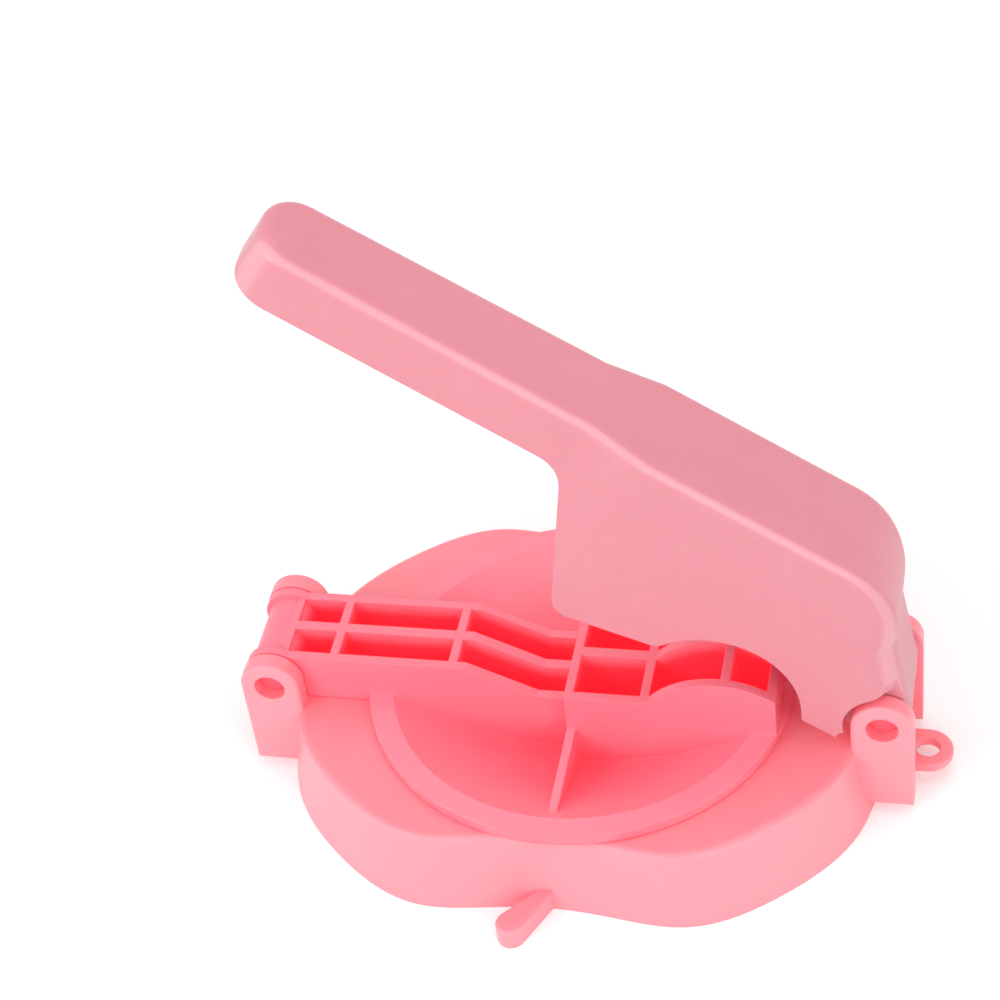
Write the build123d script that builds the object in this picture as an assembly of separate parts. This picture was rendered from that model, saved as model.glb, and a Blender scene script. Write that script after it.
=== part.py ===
from build123d import *
from OCP.BRepFilletAPI import BRepFilletAPI_MakeFillet
import math
import os

# Dumpling wrapper press: a hollow base, a dished press plate on a ribbed arm, and a lever handle.
# Millimetres. The origin is on the surface that the base stands on, under the centre of the plate.
# +X runs to the handle's hinge, -X to the arm's hinge, and +Z is up.

# Base
base_height = 22.0
base_wall = 2.4
base_flare = 4.0
base_edge_radius = 1.8
# Half-length of the base's foot at each angle from +X, the same in all four quarters
foot_outline = [(0, 76.5), (20, 76.0), (40, 71.8), (60, 66.9), (75, 59.0), (90, 55.7)]
rib_thickness = 1.8
rib_count = 4
rib_rise = 2.0

# Press plate and the play around it
rim_radius = 54.0
rim_width = 6.0
rim_thickness = 2.7
dish_depth = 16.0
dish_wall = 2.0
wrapper_gap = 0.9
bowl_wall = 1.8
seat_play = 0.3

# Hinges, the same at both ends
hinge_reach = 77.1
hinge_rise = 4.8
bore_radius = 4.0
pin_play = 0.08
pin_recess = 3.0
pin_edge = 0.5
ear_radius = 7.7
ear_thickness = 4.7
ear_gap = 24.6
ear_foot = 2.8
ear_edge_radius = 1.0
side_play = 0.6

# Arm on top of the plate; heights are above the plate's rim
arm_wall = 2.4
spine_thickness = 2.8
cross_wall = 2.2
arm_height = 11.05
low_height = 2.75
wide_height = 8.1
wide_width = 32.9
hump_radius = 23.0
hump_place = 37.3
hump_height = 16.1
slope_start = -26.8
slope_end = -9.1
end_wall_inset = 1.8
cross_places = [-61.0, -30.2]
wide_cross_places = [18.9, 39.2]
web_drop = 3.1
knuckle_radius = 6.3
cheek_radius = 7.5

# Handle, drawn along its own axis from the hinge, then raised
rest_raise = 33.9
press_travel = 19.0
handle_wall = 2.4
handle_length = 190.0
handle_top = 37.8
handle_width = 32.6
handle_draft = 1.0
grip_width = 26.4
grip_end_width = 24.4
grip_start = 103.3
taper_start = 88.0
grip_underside = 23.2
grip_edge = 2.0
tip_round = 10.0
grip_round = 9.5
skirt_length = 83.8
skirt_drop = 15.7
skirt_round = 5.5
bump_drop = 10.2
bump_round = 3.5
notch_radius = 22.6
notch_shift = (1.7, 1.6)
toe_drop = 9.7
toe_reach = 1.2
toe_angle = 48.0
toe_round = 1.5
ear_notch_play = 1.9
hub_radius = 6.6
top_edge_radius = 3.0
end_corner_radius = 8.0
end_corner_inset = 3.0
shoulder_place = 34.2
end_radius = 24.7
end_lean = 19.4
neck_place = 7.0
neck_lean = 13.6
neck_run = 6.8
neck_step = 0.35
handle_rib_places = [42.0, 66.0]
handle_rib_depth = 14.0

# Loop for hanging, and the stalk at the front
loop_overhang = 9.9
loop_radius = 6.4
loop_hole_radius = 3.1
loop_thickness = 2.6
loop_underside = 3.6
loop_edge_radius = 0.8
stalk_height = 6.0
stalk_root = (0.3, -53.0)
stalk_tip = (-8.2, -65.3)
stalk_root_radius = 1.3
stalk_tip_radius = 3.5
stalk_edge_radius = 0.9

# Levels and places that follow from the values above; far reaches past the piece, and merge is how
# far one shape runs into the next so that they join
rim_underside = base_height + seat_play
rim_level = rim_underside + rim_thickness
hinge_level = rim_level + hinge_rise
dish_edge = rim_radius - rim_width
dish_radius = (dish_edge ** 2 + dish_depth ** 2) / (2 * dish_depth)
dish_centre = rim_level - dish_depth + dish_radius
arm_width = ear_gap - 2 * side_play
hub_width = ear_gap - 2 * side_play
ear_face = ear_gap / 2 + ear_thickness
pin_length = 2 * (ear_face - pin_recess)
arm_hinge = (-hinge_reach, 0, hinge_level)
handle_hinge = (hinge_reach, 0, hinge_level)
loop_reach = hinge_reach + loop_overhang
end_wall_place = end_wall_inset - hinge_reach
far = 60.0
merge = 1.0
ear_notch_radius = ear_radius + ear_notch_play
toe_tip = (
    (ear_notch_radius + toe_reach) * math.cos(math.radians(toe_angle)),
    (ear_notch_radius + toe_reach) * math.sin(math.radians(toe_angle)),
)
lean = math.radians(end_lean)
end_foot = (
    shoulder_place - end_radius * math.cos(lean),
    handle_top - end_radius + end_radius * math.sin(lean),
)
neck_width = hub_width + 2 * neck_step


def outline_points(inset):
    """Points of the base's outline, one quarter mirrored into four, drawn in by the inset."""
    quarter = [(math.radians(angle), radius - inset) for angle, radius in foot_outline]
    half = quarter + [(math.pi - angle, radius) for angle, radius in reversed(quarter[:-1])]
    whole = half + [(angle + math.pi, radius) for angle, radius in half[1:-1]]
    return [(radius * math.cos(angle), radius * math.sin(angle)) for angle, radius in whole]


def outline_face(inset, level):
    """A face inside the base's smooth closed outline at one level."""
    curve = Spline(*outline_points(inset), periodic=True)
    return Pos(0, 0, level) * make_face(curve)


def side_plate(outline, width, centre=0.0):
    """A plate standing in the XZ plane, as wide as given along Y, around the given Y."""
    return extrude(Plane.XZ * outline, amount=width / 2, both=True).moved(Pos(0, centre, 0))


def y_cylinder(radius, length, place):
    """A round bar along Y, centred on a place."""
    return Pos(*place) * Rot(90, 0, 0) * Cylinder(radius, length)


def ball(radius):
    """A ball around the centre that the dish's curve is drawn from."""
    return Pos(0, 0, dish_centre) * Sphere(radius)


def slab(x_from, x_to, y_from, y_to, z_from, z_to):
    """A box between two corners."""
    centre = ((x_from + x_to) / 2, (y_from + y_to) / 2, (z_from + z_to) / 2)
    return Pos(*centre) * Box(x_to - x_from, y_to - y_from, z_to - z_from)


def ears(side):
    """The pair of drilled plates that carries one hinge, rooted in the base before it is hollowed."""
    hinge_x = side * hinge_reach
    plate = Pos(hinge_x, hinge_level) * Circle(ear_radius)
    height = hinge_level - ear_foot
    plate += Pos(hinge_x, ear_foot + height / 2) * Rectangle(2 * ear_radius, height)
    root = base_height - base_edge_radius - ear_foot
    plate += Pos(hinge_x / 2, ear_foot + root / 2) * Rectangle(hinge_reach, root)
    pair = []
    for y in (-1, 1):
        ear = side_plate(plate, ear_thickness, y * (ear_gap + ear_thickness) / 2)
        outer_face = ear.faces().sort_by(Axis.Y)[0 if y < 0 else -1]
        ear = fillet(outer_face.edges(), ear_edge_radius)
        pair.append(ear - y_cylinder(bore_radius, 2 * ear_face, (hinge_x, 0, hinge_level)))
    return pair


def hanging_loop():
    """The flat tab with a hole at the handle end, rooted in the base before it is hollowed."""
    tab = Pos(loop_reach, 0) * Circle(loop_radius)
    tab += Pos(loop_reach / 2, 0) * Rectangle(loop_reach, 2 * loop_radius)
    tab -= Pos(loop_reach, 0) * Circle(loop_hole_radius)
    loop = extrude(Pos(0, 0, loop_underside) * tab, amount=loop_thickness)
    rounded = loop.edges().filter_by(GeomType.CIRCLE).group_by(SortBy.RADIUS)[-1]
    return fillet(rounded, loop_edge_radius)


def stalk():
    """The apple's stalk, thin at the root and thick at the tip, lying at the front."""
    run = math.dist(stalk_root, stalk_tip)
    turn = math.atan2(stalk_tip[1] - stalk_root[1], stalk_tip[0] - stalk_root[0])
    spread = math.asin((stalk_tip_radius - stalk_root_radius) / run)
    corners = []
    for end, radius in ((stalk_root, stalk_root_radius), (stalk_tip, stalk_tip_radius)):
        for side in (1, -1):
            angle = turn + side * (math.pi / 2 + spread)
            corners.append((end[0] + radius * math.cos(angle), end[1] + radius * math.sin(angle)))
    flat = make_face(Polyline(corners[0], corners[2], corners[3], corners[1], close=True))
    flat += Pos(*stalk_root) * Circle(stalk_root_radius)
    flat += Pos(*stalk_tip) * Circle(stalk_tip_radius)
    bar = extrude(flat, amount=stalk_height)
    return fillet(bar.faces().sort_by(Axis.Z)[-1].edges(), stalk_edge_radius)


def base_ribs(hollow):
    """Stiffening ribs under the base, from the bowl out to the skirt, clear of the table."""
    ribs = []
    for number in range(rib_count):
        angle = 360 * (number + 0.5) / rib_count
        bar = slab(0, 2 * rim_radius, -rib_thickness / 2, rib_thickness / 2, rib_rise, base_height)
        ribs.append(Rot(0, 0, angle) * bar & hollow)
    return ribs


def base_block(wall):
    """The base as a solid block between floor and top, drawn in by a wall, with leaning sides."""
    foot = outline_face(wall, -wall)
    top = outline_face(base_flare + wall, base_height - wall)
    return loft([foot, top], ruled=True)


def base():
    """The hollow base with its bowl, ears, loop and stalk."""
    shell = base_block(0)
    shell = fillet(shell.faces().sort_by(Axis.Z)[-1].edges(), base_edge_radius)
    bowl_radius = dish_radius + dish_wall + wrapper_gap
    hollow = base_block(base_wall) - ball(bowl_radius + bowl_wall)
    body = shell
    for piece in (*ears(-1), *ears(1), hanging_loop(), stalk()):
        body += piece
    body = body - hollow - ball(bowl_radius)
    for rib in base_ribs(hollow):
        body += rib
    return body


def arm_outline(height, from_x, to_x):
    """A flat rectangle in XZ from below the dish up to a height above the rim."""
    low = dish_centre - dish_radius - dish_wall
    high = rim_level + height
    centre = ((from_x + to_x) / 2, (low + high) / 2)
    return Pos(*centre) * Rectangle(to_x - from_x, high - low)


def narrow_outline():
    """Side of the arm's narrow part: level, then a slope down to the low part at the middle."""
    low = dish_centre - dish_radius - dish_wall
    return make_face(Polyline(
        (end_wall_place, low),
        (end_wall_place, rim_level + arm_height),
        (slope_start, rim_level + arm_height),
        (slope_end, rim_level + low_height),
        (0, rim_level + low_height),
        (0, low),
        close=True,
    ))


def hump_end():
    """Where the arm ends over the rim, so that its corners lie on the rim's edge."""
    return math.sqrt(rim_radius ** 2 - (wide_width / 2) ** 2)


def wide_outline():
    """Side of the arm's wide part: a level shelf and the round hump that the handle presses."""
    shelf = arm_outline(wide_height, -cross_wall / 2, hump_end())
    hump_centre = rim_level + hump_height - hump_radius
    hump = Pos(hump_place, hump_centre) * Circle(hump_radius)
    hump &= arm_outline(hump_height + merge, wide_cross_places[0], hump_end())
    return shelf + hump


def press_space():
    """All the room above the underside of the plate and of the arm's floor."""
    below = slab(-rim_radius, rim_radius, -rim_radius, rim_radius, 0, rim_underside)
    cap = ball(dish_radius + dish_wall) & below
    top = rim_underside + far
    above = Pos(0, 0, (rim_underside + top) / 2) * Cylinder(rim_radius, far)
    arm_room = slab(-2 * hinge_reach, 0, -wide_width, wide_width, rim_underside, top)
    return cap + above + arm_room


def dish():
    """The plate itself: a flat rim and a shallow round bowl of even wall."""
    rim = Pos(0, 0, rim_underside + rim_thickness / 2) * Cylinder(rim_radius, rim_thickness)
    below = slab(-rim_radius, rim_radius, -rim_radius, rim_radius, 0, rim_level)
    cap = ball(dish_radius + dish_wall) & below & Cylinder(dish_edge + merge, 2 * rim_level)
    return rim + cap - ball(dish_radius)


def cross_slab(x, half_width, top):
    """A thin wall across the arm at one place, from the floor up to a level."""
    return slab(x - cross_wall / 2, x + cross_wall / 2, -half_width, half_width, 0, top)


def arm_walls():
    """The arm's outer walls, its spine and its cross walls, before the dish trims them below."""
    narrow = narrow_outline()
    wide = wide_outline()
    walls = [side_plate(narrow + wide, spine_thickness)]
    for side in (-1, 1):
        walls.append(side_plate(narrow, arm_wall, side * (arm_width - arm_wall) / 2))
        walls.append(side_plate(wide, arm_wall, side * (wide_width - arm_wall) / 2))
    end_wall = arm_outline(arm_height, end_wall_place, end_wall_place + cross_wall)
    walls.append(side_plate(end_wall, arm_width))
    top = rim_level + hump_height
    for x in cross_places:
        walls.append(cross_slab(x, arm_width, top) & side_plate(narrow, arm_width))
    for x in (0, *wide_cross_places, hump_end() - cross_wall / 2):
        walls.append(cross_slab(x, wide_width, top) & side_plate(wide, wide_width))
    return walls


def press_plate():
    """The dish with its web and its arm, which ends in the hinge knuckle."""
    web = cross_slab(0, dish_edge, rim_level - web_drop)
    half_arm = arm_width / 2
    floor = slab(end_wall_place, -dish_edge, -half_arm, half_arm, rim_underside, rim_level)
    space = press_space()
    plate = dish() + floor + (web & space)
    for wall in arm_walls():
        plate += wall & space
    for side in (-1, 1):
        cheek_place = (-hinge_reach, side * (half_arm - arm_wall / 2), hinge_level)
        cheek = y_cylinder(cheek_radius, arm_wall, cheek_place)
        plate += cheek - slab(-2 * hinge_reach, 0, -arm_width, arm_width, 0, rim_underside)
    plate += y_cylinder(knuckle_radius, arm_width, arm_hinge)
    return plate - y_cylinder(bore_radius, arm_width, arm_hinge)


def hinge_pin(place):
    """A round pin whose ends stay inside the ears."""
    pin = y_cylinder(bore_radius - pin_play, pin_length, place)
    return chamfer(pin.edges().filter_by(GeomType.CIRCLE), pin_edge)


def notch_centre():
    """Centre of the handle's notch, from where the hump lies when the handle is pressed down."""
    away = hinge_reach - hump_place
    rise = hump_height - hump_radius - hinge_rise
    turn = math.radians(rest_raise - press_travel)
    along = away * math.cos(turn) + rise * math.sin(turn) + notch_shift[0]
    up = rise * math.cos(turn) - away * math.sin(turn) + notch_shift[1]
    return along, up


def tangent_point(point, radius, side):
    """Where a line from a point touches a circle around the hinge, on one side or the other."""
    away = math.hypot(*point)
    angle = math.atan2(point[1], point[0]) + side * math.acos(radius / away)
    return radius * math.cos(angle), radius * math.sin(angle)


def along_handle(points):
    """Points measured from the hinge along the handle and up, as points of the handle's side."""
    return [(-along, up) for along, up in points]


def round_corner(outline, corner, radius):
    """The outline with the corner nearest to a place rounded."""
    vertex = outline.vertices().sort_by_distance(Vertex(*corner, 0))[0]
    return fillet(vertex, radius)


def handle_side():
    """Side of the handle's long walls: end, toe, notch for the hump, pressing edge and grip."""
    along, up = notch_centre()
    toe_inner = (along - math.sqrt(notch_radius ** 2 - (up + toe_drop) ** 2), -toe_drop)
    bump = (along + math.sqrt(notch_radius ** 2 - (up + bump_drop) ** 2), -bump_drop)
    skirt_corner = (skirt_length, -skirt_drop)
    grip_corner = (grip_start, grip_underside)
    grip_end = (handle_length, grip_underside)
    tip = (handle_length, handle_top)
    shoulder = (shoulder_place, handle_top)
    notch = along_handle([toe_inner, (along, up + notch_radius), bump])
    top = along_handle([bump, skirt_corner, grip_corner, grip_end, tip, shoulder])
    hub_touch = tangent_point(end_foot, hub_radius, 1)
    back = along_handle([end_foot, hub_touch, (hub_touch[0], -toe_drop), toe_inner])
    edge = ThreePointArc(*notch) + Polyline(*top)
    edge += TangentArc(top[-1], back[0], tangent=(1, 0)) + Polyline(*back)
    outline = make_face(edge)
    corners = (toe_inner, bump, skirt_corner, grip_corner, grip_end)
    rounds = (toe_round, bump_round, skirt_round, grip_round, grip_edge)
    for corner, radius in zip(corners, rounds):
        outline = round_corner(outline, along_handle([corner])[0], radius)
    return outline


def hub_side():
    """Side of the narrow part between the ears: the hub with webs up to the end and the toe."""
    toe = (toe_tip[0], -toe_tip[1])
    corners = [
        tangent_point(end_foot, hub_radius, 1),
        end_foot,
        (shoulder_place, end_foot[1]),
        (shoulder_place / 2, 0),
        toe,
        tangent_point(toe, hub_radius, -1),
        (0, 0),
    ]
    return make_face(Polyline(*along_handle(corners), close=True)) + Circle(hub_radius)


def handle_plan(inset):
    """Plan of the handle: wide over the hinge and the press, narrow along the grip."""
    half = [
        (2 * hub_radius, handle_width / 2 - inset),
        (-taper_start, handle_width / 2 - inset),
        (-grip_start, grip_width / 2 - inset),
        (-handle_length + inset, grip_end_width / 2 - inset),
    ]
    mirrored = [(x, -y) for x, y in reversed(half)]
    plan = make_face(Polyline(*half, *mirrored, close=True))
    for corner in (half[-1], mirrored[0]):
        plan = round_corner(plan, corner, tip_round - inset)
    return plan


def leaning_block(inset):
    """A tall block with the handle's plan, whose sides lean in towards the top."""
    spread = far * math.tan(math.radians(handle_draft))
    low = Pos(0, 0, -far) * handle_plan(inset - spread)
    high = Pos(0, 0, far) * handle_plan(inset + spread)
    return loft([low, high], ruled=True)


def neck_room(inset):
    """The room at both sides where the handle narrows, in a soft double bend, to pass the ears."""
    lean_angle = math.radians(neck_lean)
    across = Plane(
        origin=(-neck_place, 0, 0),
        x_dir=(math.cos(lean_angle), 0, math.sin(lean_angle)),
        z_dir=(-math.sin(lean_angle), 0, math.cos(lean_angle)),
    )
    start = (-inset, handle_width / 2 - inset)
    end = (neck_run, neck_width / 2 - inset)
    bend = Spline(start, end, tangents=[(1, 0), (1, 0)])
    rest = Polyline(end, (far, end[1]), (far, handle_width), (start[0], handle_width), start)
    half = make_face(bend + rest)
    both = half + mirror(half, about=Plane.XZ)
    return extrude(across * both, amount=far, both=True)


def next_face(block, edge, face):
    """The face on the other side of an edge."""
    return [other for other in block.faces() if edge in other.edges() and other != face][0]


def widening_fillet(block, tops, arcs, walls):
    """Rounds a block's edges, wider and wider over the arcs between its top and the end's walls."""
    rounds = BRepFilletAPI_MakeFillet(block.wrapped)
    for edge in [*tops, *arcs, *walls]:
        if not rounds.Contour(edge.wrapped):
            rounds.Add(top_edge_radius, edge.wrapped)
    for edge in [*arcs, *walls]:
        chain = rounds.Contour(edge.wrapped)
        places = range(1, rounds.NbEdges(chain) + 1)
        place = [i for i in places if rounds.Edge(chain, i).IsSame(edge.wrapped)][0]
        if edge in walls:
            radii = (end_corner_radius, end_corner_radius)
        elif place == 1:
            radii = (end_corner_radius, top_edge_radius)
        else:
            radii = (top_edge_radius, end_corner_radius)
        rounds.SetRadius(*radii, chain, place)
    return Part(rounds.Shape())


def handle_body():
    """The handle as a full block with rounded long edges and room for the ears at its sides."""
    block = side_plate(handle_side(), 2 * handle_width) & leaning_block(0)
    top_face = block.faces().filter_by(Plane.XY).sort_by(Axis.Z)[-1]
    shoulder = top_face.edges().sort_by(Axis.X)[-1]
    end_face = next_face(block, shoulder, top_face)
    end_edge = end_face.edges().filter_by(Axis.Y).sort_by(Axis.Z)[0]
    flank = next_face(block, end_edge, end_face)
    tops = [edge for edge in top_face.edges() if edge != shoulder]
    arcs, walls = (face.edges().filter_by(Axis.Y, reverse=True) for face in (end_face, flank))
    block = widening_fillet(block, tops, arcs, walls)
    hub = block + y_cylinder(hub_radius, hub_width, (0, 0, 0))
    ear_room = make_face(Polyline(*along_handle([
        (0, ear_notch_radius),
        (0, 0),
        (toe_tip[0], -toe_tip[1]),
        (toe_tip[0], -far),
        (-far, -far),
        (-far, ear_notch_radius),
    ]), close=True))
    ear_room += Circle(ear_notch_radius)
    block -= side_plate(ear_room, 2 * handle_width)
    return block - neck_room(0) + (side_plate(hub_side(), hub_width) & hub)


def handle_hollow():
    """The handle's inside, open underneath, stepped in beside the ears and clear of the hub."""
    side = offset(handle_side(), amount=-handle_wall)
    inner_end = handle_length - handle_wall
    open_below = (
        (ear_notch_radius, 0),
        (end_foot[0] + handle_wall + merge, end_foot[1]),
        (skirt_length, grip_underside + handle_wall + merge),
    )
    for start, ceiling in open_below:
        height = ceiling + far
        middle = (-(start + inner_end) / 2, ceiling - height / 2)
        side += Pos(*middle) * Rectangle(inner_end - start, height)
    narrow = side_plate(side, hub_width - 2 * handle_wall)
    wide_side = side & Pos(-end_corner_inset, 0) * side - Circle(ear_notch_radius + handle_wall)
    wide = side_plate(wide_side, handle_width - 2 * handle_wall)
    hollow = (narrow + wide) & leaning_block(handle_wall)
    hollow -= neck_room(handle_wall)
    return hollow - y_cylinder(hub_radius, hub_width, (0, 0, 0))


def handle():
    """The lever handle, raised to the height at which it is held."""
    body = handle_body()
    hollow = handle_hollow()
    rib_top = handle_top - handle_wall / 2
    rib_foot = rib_top - handle_rib_depth
    half_rib = rib_thickness / 2
    for place in handle_rib_places:
        hollow -= slab(-place - half_rib, -place + half_rib, -handle_width, handle_width, rib_foot, rib_top)
    body = body - hollow - y_cylinder(bore_radius, hub_width, (0, 0, 0))
    return Pos(*handle_hinge) * Rot(0, rest_raise, 0) * body


parts = {
    "base": base(),
    "press_plate": press_plate(),
    "handle": handle(),
    "plate_hinge_pin": hinge_pin(arm_hinge),
    "handle_hinge_pin": hinge_pin(handle_hinge),
}

os.makedirs("parts", exist_ok=True)
for name, shape in parts.items():
    export_step(shape, f"parts/{name}.step")
    print(name, "solids", len(shape.solids()), "volume", round(shape.volume))
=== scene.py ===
import math

import bpy
import numpy as np
from mathutils import Matrix, Vector


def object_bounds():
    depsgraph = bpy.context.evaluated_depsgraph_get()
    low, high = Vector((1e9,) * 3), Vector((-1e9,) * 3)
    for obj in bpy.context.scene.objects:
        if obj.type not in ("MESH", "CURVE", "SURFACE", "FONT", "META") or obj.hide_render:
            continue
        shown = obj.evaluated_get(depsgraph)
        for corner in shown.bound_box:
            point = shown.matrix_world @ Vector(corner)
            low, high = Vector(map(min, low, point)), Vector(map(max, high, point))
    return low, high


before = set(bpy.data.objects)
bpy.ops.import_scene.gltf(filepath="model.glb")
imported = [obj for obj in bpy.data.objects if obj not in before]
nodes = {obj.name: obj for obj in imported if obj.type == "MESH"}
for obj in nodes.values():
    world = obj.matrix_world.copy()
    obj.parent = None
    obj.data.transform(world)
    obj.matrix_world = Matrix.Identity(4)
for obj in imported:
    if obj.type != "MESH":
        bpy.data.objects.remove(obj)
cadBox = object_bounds()
print("stage: frame loaded,", len(nodes), "pieces")


# Shader maths: a socket wrapped so that + - * build Math nodes, with a number on either side
class Value:
    def __init__(self, shader, socket):
        self.shader = shader
        self.socket = socket

    def calc(self, operation, other=0.0):
        return self.shader.node("ShaderNodeMath", {"operation": operation}, [self, other])

    def __add__(self, other):
        return self.calc("ADD", other)

    def __sub__(self, other):
        return self.calc("SUBTRACT", other)

    def __mul__(self, other):
        return self.calc("MULTIPLY", other)

    def __rsub__(self, other):
        return self.shader.node("ShaderNodeMath", {"operation": "SUBTRACT"}, [other, self])

    __radd__ = __add__
    __rmul__ = __mul__


# The nodes of a material or of the world; node() is the one way to add a node
class Shader:
    def __init__(self, owner):
        self.owner = owner
        owner.use_nodes = True
        self.tree = owner.node_tree
        self.tree.nodes.clear()

    def node(self, kind, settings=None, inputs=None, output=0):
        made = self.tree.nodes.new(kind)
        for key, value in (settings or {}).items():
            setattr(made, key, value)
        pairs = enumerate(inputs) if isinstance(inputs, list) else (inputs or {}).items()
        for key, value in pairs:
            if isinstance(value, Value):
                self.tree.links.new(value.socket, made.inputs[key])
            else:
                made.inputs[key].default_value = value
        return None if output is None else Value(self, made.outputs[output])

    def place(self, scale=(1, 1, 1), turn=(0, 0, 0)):
        # Object coordinates in metres, turned and stretched
        coords = self.node("ShaderNodeTexCoord", output="Object")
        return self.node(
            "ShaderNodeMapping",
            {"vector_type": "TEXTURE"},
            {"Vector": coords, "Rotation": turn, "Scale": scale},
        )

    def axis(self, letter):
        # One of the object coordinates: X, Y or Z
        return self.node("ShaderNodeSeparateXYZ", None, [self.place()], output=letter)

    def noise(self, vector, scale, detail, roughness):
        return self.node(
            "ShaderNodeTexNoise",
            {"noise_dimensions": "3D"},
            {"Vector": vector, "Scale": scale, "Detail": detail, "Roughness": roughness},
        )

    def ramp(self, value, low, high):
        # 0 up to low, 1 from high on, and a soft step between them
        return self.node(
            "ShaderNodeMapRange",
            {"interpolation_type": "SMOOTHSTEP", "clamp": True},
            {"Value": value, "From Min": low, "From Max": high, "To Min": 0.0, "To Max": 1.0},
        )

    def span(self, value, sources, targets):
        # Linear from one pair of values to another, held level beyond both
        return self.node(
            "ShaderNodeMapRange",
            {"clamp": True},
            {
                "Value": value,
                "From Min": sources[0],
                "From Max": sources[1],
                "To Min": targets[0],
                "To Max": targets[1],
            },
        )

    def dot(self, first, second):
        product = {"operation": "DOT_PRODUCT"}
        return self.node("ShaderNodeVectorMath", product, [first, second], output="Value")

    def blend(self, factor, first, second):
        # Colour mix: the node's colour sockets are inputs 6 and 7, its colour result output 2
        sockets = {0: factor, 6: first, 7: second}
        return self.node("ShaderNodeMix", {"data_type": "RGBA"}, sockets, output=2)

    def seen(self):
        # 1 for rays from the camera, a gloss or a clear body, 0 for rays that light other surfaces
        kinds = ("Is Camera Ray", "Is Glossy Ray", "Is Transmission Ray")
        camera, gloss, clear = (self.node("ShaderNodeLightPath", output=kind) for kind in kinds)
        return (camera + gloss + clear).calc("MINIMUM", 1.0)

    def output(self, kind, surface):
        self.node(kind, None, {"Surface": surface}, output=None)
        return self.owner

    def finish(self, settings, color, roughness, height, normal, paintedGlow):
        bump = self.node(
            "ShaderNodeBump",
            None,
            {"Strength": 1.0, "Distance": settings["bumpDepth"], "Height": height, "Normal": normal},
        )
        surface = self.node(
            "ShaderNodeBsdfPrincipled",
            {"subsurface_method": "RANDOM_WALK"},
            {
                "Base Color": color,
                "Roughness": roughness,
                "Normal": bump,
                "IOR": settings["ior"],
                "Subsurface Weight": settings["subsurface"],
                "Subsurface Radius": settings["glowRadius"],
                "Subsurface Scale": settings["glowDepth"],
                "Emission Color": paintedGlow,
                "Emission Strength": 1.0,
            },
        )
        return self.output("ShaderNodeOutputMaterial", surface)


# What all the mouldings share; lengths are in metres
pinkPlastic = {
    "color": (0.99, 0.31, 0.365, 1.0),
    # walls painted lighter than tops: a painted light
    "wallShadingColor": (0.99, 0.385, 0.445, 1.0),
    "flowColor": (0.98, 0.285, 0.34, 1.0),
    "paleColor": (0.99, 0.38, 0.44, 1.0),
    # paler edges: part wear, part a painted highlight on the rounding
    "wearAndHighlightColor": (0.99, 0.52, 0.58, 1.0),
    # a painted highlight along the rounded long edges
    "ridgeHighlightColor": (0.99, 0.44, 0.50, 1.0),
    # a painted red glow: constant emission that stands in for light sinking into the plastic
    "paintedGlowColor": (0.11, 0.0, 0.003, 1.0),
    "ior": 1.49,
    "subsurface": 0.3,
    "glowRadius": (1.0, 0.3, 0.32),
    "glowDepth": 0.004,
    "roughness": 0.36,
    "cloudGloss": 0.08,
    "speckleGloss": 0.05,
    "wornGloss": 0.06,
    "bumpDepth": 0.0001,
    "grainHeight": 0.35,
    "flowHeight": 0.3,
    "cloudHeight": 0.25,
    # Each noise has a scale, a detail and a roughness
    "flowNoise": (38.0, 3.0, 0.45),
    "cloudNoise": (90.0, 4.0, 0.55),
    "grainNoise": (2600.0, 2.0, 0.6),
    "speckleNoise": (5200.0, 1.0, 0.5),
    "flowStretch": (3.0, 1.0, 1.0),
    "flowTurn": (0.0, 0.0, 0.0),
    "flowRange": (0.3, 0.7),
    "flowTint": 0.6,
    "topNormal": (0.0, 0.0, 1.0),
    "topRange": (0.25, 0.8),  # how far a face looks up before it counts as a top
    "wallShadingTint": 0.85,
    "paleRange": (0.5, 0.8),
    "paleTint": 0.25,
    "sideNormal": (0.0, 1.0, 0.0),
    "ridgeRise": (0.3, 0.55),  # how far a face looks sideways where the edge's sheen begins
    "ridgeFall": (0.75, 0.95),  # and where it ends
    "ridgeHighlightTint": 0.3,
    "edgeRadius": 0.0005,
    "edgeSamples": 6,
    "edgeRange": (0.02, 0.25),
    "wearAndHighlightRange": (0.42, 0.62),
    "wearAndHighlightTint": 0.4,
    "openCells": False,
}

# The arm's open cells, in metres
armCells = {
    "ends": (-0.0745, 0.0505),  # along x, from the knuckle to the far wall
    "wideFrom": -0.0005,  # the x from which the arm is wide
    "narrowHalf": 0.0105,  # from the middle to a side wall's inner face
    "wideHalf": 0.0152,
    "slope": (-0.0268, -0.0091),  # where the narrow arm's top slopes, along x
    "slopeTops": (0.03605, 0.02775),  # its height there
    "shelfTop": 0.0331,
    "humpPlace": 0.0373,
    "humpRadius": 0.023,
    "humpCentre": 0.0181,
    "fade": (0.0006, 0.0050),
}


# How deep a point lies in the arm's cells, 0 at the wall tops and 1 from 5 mm down: the wall top is
# a slope, then a level shelf, then a circle's arc, each as a function of x
def cellDepth(shader):
    x, y, z = (shader.axis(letter) for letter in "XYZ")
    narrowTop = shader.span(x, armCells["slope"], armCells["slopeTops"])
    away = x - armCells["humpPlace"]
    arc = (armCells["humpRadius"] ** 2 - away * away).calc("MAXIMUM", 0.0).calc("SQRT")
    wideTop = (arc + armCells["humpCentre"]).calc("MAXIMUM", armCells["shelfTop"])
    wide = x.calc("GREATER_THAN", armCells["wideFrom"])
    top = narrowTop + (wideTop - narrowTop) * wide
    half = armCells["narrowHalf"] + (armCells["wideHalf"] - armCells["narrowHalf"]) * wide
    inside = y.calc("ABSOLUTE").calc("LESS_THAN", half)
    inside = inside * x.calc("GREATER_THAN", armCells["ends"][0])
    inside = inside * x.calc("LESS_THAN", armCells["ends"][1])
    return shader.ramp(top - z, *armCells["fade"]) * inside
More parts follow.
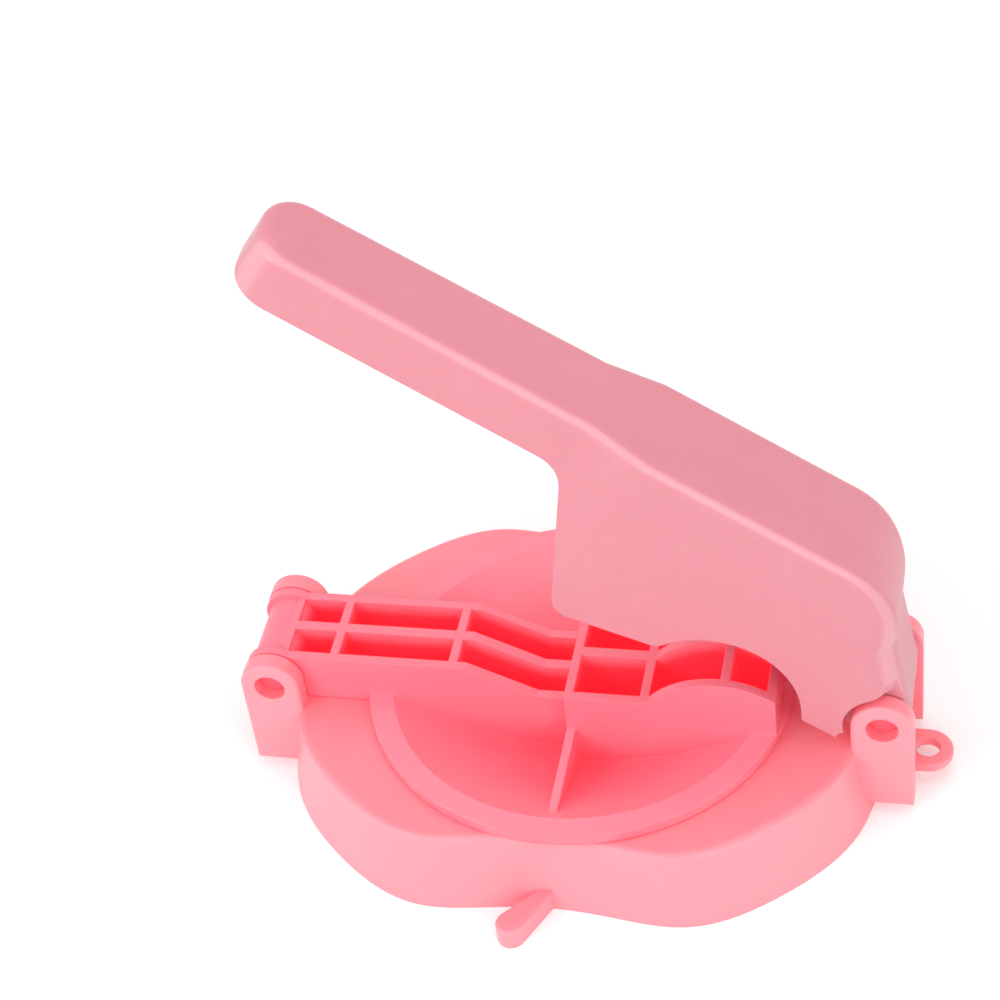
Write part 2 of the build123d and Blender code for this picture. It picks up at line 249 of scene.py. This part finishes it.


# The press plate's painted shade: the arm above the rim takes the darker painted wall shading, the dish
# is painted redder the lower a point lies, and the arm's cells are painted dark red with a painted red
# glow
def platePaintedShade(shader, settings, color):
    z = shader.axis("Z")
    # Painted shade: the arm above the rim is painted in the darker wall colour
    armShade = shader.ramp(z, *settings["armFoot"])
    color = shader.blend(armShade * settings["armShadeTint"], color, settings["wallShadingColor"])
    # Painted shade: the dish is painted redder the lower a point lies
    dishShade = shader.ramp(settings["dishTop"] - z, *settings["dishFade"])
    color = shader.blend(dishShade * settings["dishShadeTint"], color, settings["dishShadeColor"])
    # Painted shade and painted glow: the arm's cells are painted deep red and glow red the deeper they
    # go
    depth = cellDepth(shader)
    color = shader.blend(depth, color, settings["cellShadeColor"])
    paintedGlow = shader.blend(depth, settings["paintedGlowColor"], settings["cellPaintedGlow"])
    return color, paintedGlow


# Satin injection-moulded plastic: colour and gloss drift with wide flow marks, walls carry painted
# light and shade that sets them a little apart from tops, rounded long edges have a painted pale sheen,
# edges are painted paler as part wear and part painted highlight, a fine sparked grain lies over
# everything, and a painted red glow stands in for light that sinks in and comes back red
def mouldedPlastic(name, changes):
    settings = {**pinkPlastic, **changes}
    shader = Shader(bpy.data.materials.new(name))
    flowPlace = shader.place(scale=settings["flowStretch"], turn=settings["flowTurn"])
    flow = shader.noise(flowPlace, *settings["flowNoise"])
    plain = shader.place()
    cloud = shader.noise(plain, *settings["cloudNoise"])
    grain = shader.noise(plain, *settings["grainNoise"])
    speckle = shader.noise(plain, *settings["speckleNoise"])
    rounded = shader.node(
        "ShaderNodeBevel", {"samples": settings["edgeSamples"]}, {"Radius": settings["edgeRadius"]}
    )
    face = shader.node("ShaderNodeNewGeometry", output="Normal")
    edge = shader.ramp(1 - shader.dot(rounded, face), *settings["edgeRange"])
    # Edges painted paler, part wear and part a painted highlight where the rounding catches light
    wearAndHighlight = edge * shader.ramp(cloud, *settings["wearAndHighlightRange"])
    upward = shader.dot(face, settings["topNormal"]).calc("ABSOLUTE")
    # Painted light and shade: faces that look sideways are painted a shade apart from tops
    wallShading = 1 - shader.ramp(upward, *settings["topRange"])
    sideways = shader.dot(face, settings["sideNormal"]).calc("ABSOLUTE")
    # Painted highlight: faces that look partly sideways, the rounded long edges, are painted paler
    ridgeHighlight = shader.ramp(sideways, *settings["ridgeRise"]) - shader.ramp(sideways, *settings["ridgeFall"])
    streaks = shader.ramp(flow, *settings["flowRange"])
    clouds = shader.ramp(cloud, *settings["paleRange"])
    color = shader.blend(streaks * settings["flowTint"], settings["color"], settings["flowColor"])
    color = shader.blend(wallShading * settings["wallShadingTint"], color, settings["wallShadingColor"])
    color = shader.blend(clouds * settings["paleTint"], color, settings["paleColor"])
    color = shader.blend(ridgeHighlight * settings["ridgeHighlightTint"], color, settings["ridgeHighlightColor"])
    color = shader.blend(wearAndHighlight * settings["wearAndHighlightTint"], color, settings["wearAndHighlightColor"])
    paintedGlow = settings["paintedGlowColor"]
    if settings["openCells"]:
        color, paintedGlow = platePaintedShade(shader, settings, color)
    roughness = settings["roughness"] + (cloud - 0.5) * settings["cloudGloss"]
    roughness = roughness + (speckle - 0.5) * settings["speckleGloss"] - wearAndHighlight * settings["wornGloss"]
    height = grain * settings["grainHeight"] + flow * settings["flowHeight"]
    height = height + cloud * settings["cloudHeight"]
    return shader.finish(settings, color, roughness, height, rounded, paintedGlow)


basePlastic = {
    "flowStretch": (1.0, 1.0, 2.5),
}
platePlastic = {
    "color": (0.99, 0.305, 0.39, 1.0),
    # the plate's walls painted darker than its tops: a painted shade
    "wallShadingColor": (0.96, 0.235, 0.31, 1.0),
    "flowColor": (0.98, 0.275, 0.36, 1.0),
    "dishShadeColor": (0.97, 0.14, 0.20, 1.0),
    "cellShadeColor": (0.99, 0.05, 0.085, 1.0),
    "cellPaintedGlow": (0.45, 0.011, 0.02, 1.0),
    "glowDepth": 0.0018,
    "openCells": True,
    # the next heights are where the arm's painted shade begins
    "armFoot": (0.0255, 0.0285),  # the heights between which the arm's colour begins
    "armShadeTint": 0.8,
    "dishTop": 0.0250,
    "dishFade": (0.004, 0.016),  # below the dish's top
    "dishShadeTint": 0.6,
}
handleTilt = math.radians(33.9)  # the handle's slope above the level at rest
handlePlastic = {
    "color": (0.81, 0.29, 0.35, 1.0),
    "wallShadingColor": (0.77, 0.305, 0.36, 1.0),
    "flowColor": (0.77, 0.27, 0.33, 1.0),
    "paleColor": (0.84, 0.37, 0.43, 1.0),
    "wearAndHighlightColor": (0.9, 0.52, 0.57, 1.0),
    "ridgeHighlightColor": (0.96, 0.50, 0.56, 1.0),
    "ridgeHighlightTint": 0.5,
    "paintedGlowColor": (0.0, 0.0, 0.0, 1.0),
    "flowStretch": (4.0, 1.0, 1.0),
    "flowTurn": (0.0, handleTilt, 0.0),
    "topNormal": (math.sin(handleTilt), 0.0, math.cos(handleTilt)),
}
# The hinge pins are painted a darker red throughout: a painted shade for their ends deep in the ears'
# holes
pinShadedPlastic = {
    "color": (0.93, 0.17, 0.23, 1.0),
    "wallShadingColor": (0.93, 0.15, 0.21, 1.0),
    "flowColor": (0.90, 0.14, 0.20, 1.0),
    "paleColor": (0.95, 0.24, 0.30, 1.0),
    "roughness": 0.3,
}
plasticByNode = {
    "base": basePlastic,
    "press_plate": platePlastic,
    "handle": handlePlastic,
    "plate_hinge_pin": pinShadedPlastic,
    "handle_hinge_pin": pinShadedPlastic,
}
for name, changes in plasticByNode.items():
    plastic = mouldedPlastic(name + "_plastic", changes)
    for materialSlot in nodes[name].material_slots:
        materialSlot.material = plastic
print("stage: plastics on", len(plasticByNode), "pieces")

# The floor card, in metres
floorCard = {
    "size": 6.0,
    "pointsAcross": 3,
    "color": (0.88, 0.88, 0.88, 1.0),
    "fibreColor": (0.8, 0.8, 0.8, 1.0),
    "fibreNoise": (220.0, 3.0, 0.6),
    "fibreTint": 0.06,
    "roughness": 0.6,
    "liftColor": (1.0, 1.0, 1.0, 1.0),
    "lift": 0.25,
}


# A wide flat grid at the level that the base stands on: z is the CAD box's foot for all u and v
def makeFloor():
    half = floorCard["size"] / 2
    along = np.linspace(-half, half, floorCard["pointsAcross"])
    u, v = np.meshgrid(along, along)
    points = np.stack([u.ravel(), v.ravel(), np.full(u.size, cadBox[0][2])], axis=1)
    index = np.arange(u.size).reshape(u.shape)
    corners = [index[:-1, :-1], index[:-1, 1:], index[1:, 1:], index[1:, :-1]]
    faces = np.stack(corners, axis=-1).reshape(-1, 4)
    mesh = bpy.data.meshes.new("floor")
    mesh.from_pydata(points.tolist(), [], faces.tolist())
    floor = bpy.data.objects.new("floor", mesh)
    bpy.context.scene.collection.objects.link(floor)
    return floor


# White card that takes the shadow, and is lifted to plain white only where it is looked at
def floorMaterial():
    shader = Shader(bpy.data.materials.new("floor_card"))
    fibre = shader.noise(shader.place(), *floorCard["fibreNoise"])
    paper = shader.blend(fibre * floorCard["fibreTint"], floorCard["color"], floorCard["fibreColor"])
    card = shader.node(
        "ShaderNodeBsdfDiffuse", None, {"Color": paper, "Roughness": floorCard["roughness"]}
    )
    lifted = shader.seen() * floorCard["lift"]
    lift = shader.node("ShaderNodeEmission", None, {"Color": floorCard["liftColor"], "Strength": lifted})
    both = shader.node("ShaderNodeAddShader", None, [card, lift])
    return shader.output("ShaderNodeOutputMaterial", both)


floor = makeFloor()
floor.data.materials.append(floorMaterial())
print("stage: floor laid")

studio = {
    "worldColor": (1.0, 0.99, 0.98, 1.0),
    "worldLight": 0.7,
    "backdropColor": (1.0, 1.0, 1.0, 1.0),
    "lamps": [
        # name, place, target, width, power
        ("keyLamp", (-0.75, -0.85, 0.70), (0, 0, 0.03), 0.6, 4.5),
        ("frontLamp", (0.10, -1.25, 0.28), (0, 0, 0.05), 0.9, 2.0),
        ("rightLamp", (0.80, -0.90, 0.62), (0, 0, 0.08), 0.4, 2.5),
        ("topLamp", (0.15, 0.20, 1.1), (0, 0, 0.05), 0.8, 2.0),
    ],
}


# The world lights plainly, and is white where it is looked at
def makeWorld():
    world = bpy.data.worlds.new("studio")
    bpy.context.scene.world = world
    shader = Shader(world)
    skies = (("worldColor", studio["worldLight"]), ("backdropColor", 1.0))
    soft, white = (
        shader.node("ShaderNodeBackground", None, {"Color": studio[color], "Strength": strength})
        for color, strength in skies
    )
    sky = shader.node("ShaderNodeMixShader", None, [shader.seen(), soft, white])
    shader.output("ShaderNodeOutputWorld", sky)


def makeLamp(name, place, target, width, power):
    lamp = bpy.data.lights.new(name, "AREA")
    lamp.shape = "SQUARE"
    lamp.size = width
    lamp.energy = power
    holder = bpy.data.objects.new(name, lamp)
    holder.location = place
    aim = Vector(target) - Vector(place)
    holder.rotation_euler = aim.to_track_quat("-Z", "Y").to_euler()
    bpy.context.scene.collection.objects.link(holder)


makeWorld()
for settings in studio["lamps"]:
    makeLamp(*settings)
print("stage: studio lit by", len(studio["lamps"]), "lamps")

# The photograph's camera, in metres, with its lens and sensor in millimetres
view = {
    "place": (0.11620, -0.44163, 0.50180),
    "forward": (-0.21036, 0.70989, -0.67217),
    "up": (-0.05150, 0.67855, 0.73275),
    "lens": 93.6,
    "sensor": 36.0,
    "nearest": 0.01,
}


def makeCamera():
    camera = bpy.data.cameras.new("view")
    camera.lens = view["lens"]
    camera.sensor_width = view["sensor"]
    camera.clip_start = view["nearest"]
    holder = bpy.data.objects.new("view", camera)
    back = -Vector(view["forward"]).normalized()
    right = Vector(view["up"]).cross(back).normalized()
    up = back.cross(right)
    turn = Matrix((right, up, back)).transposed().to_4x4()
    holder.matrix_world = Matrix.Translation(Vector(view["place"])) @ turn
    bpy.context.scene.collection.objects.link(holder)
    bpy.context.scene.camera = holder


makeCamera()
bpy.context.scene.view_settings.view_transform = "Standard"
print("stage: camera placed")
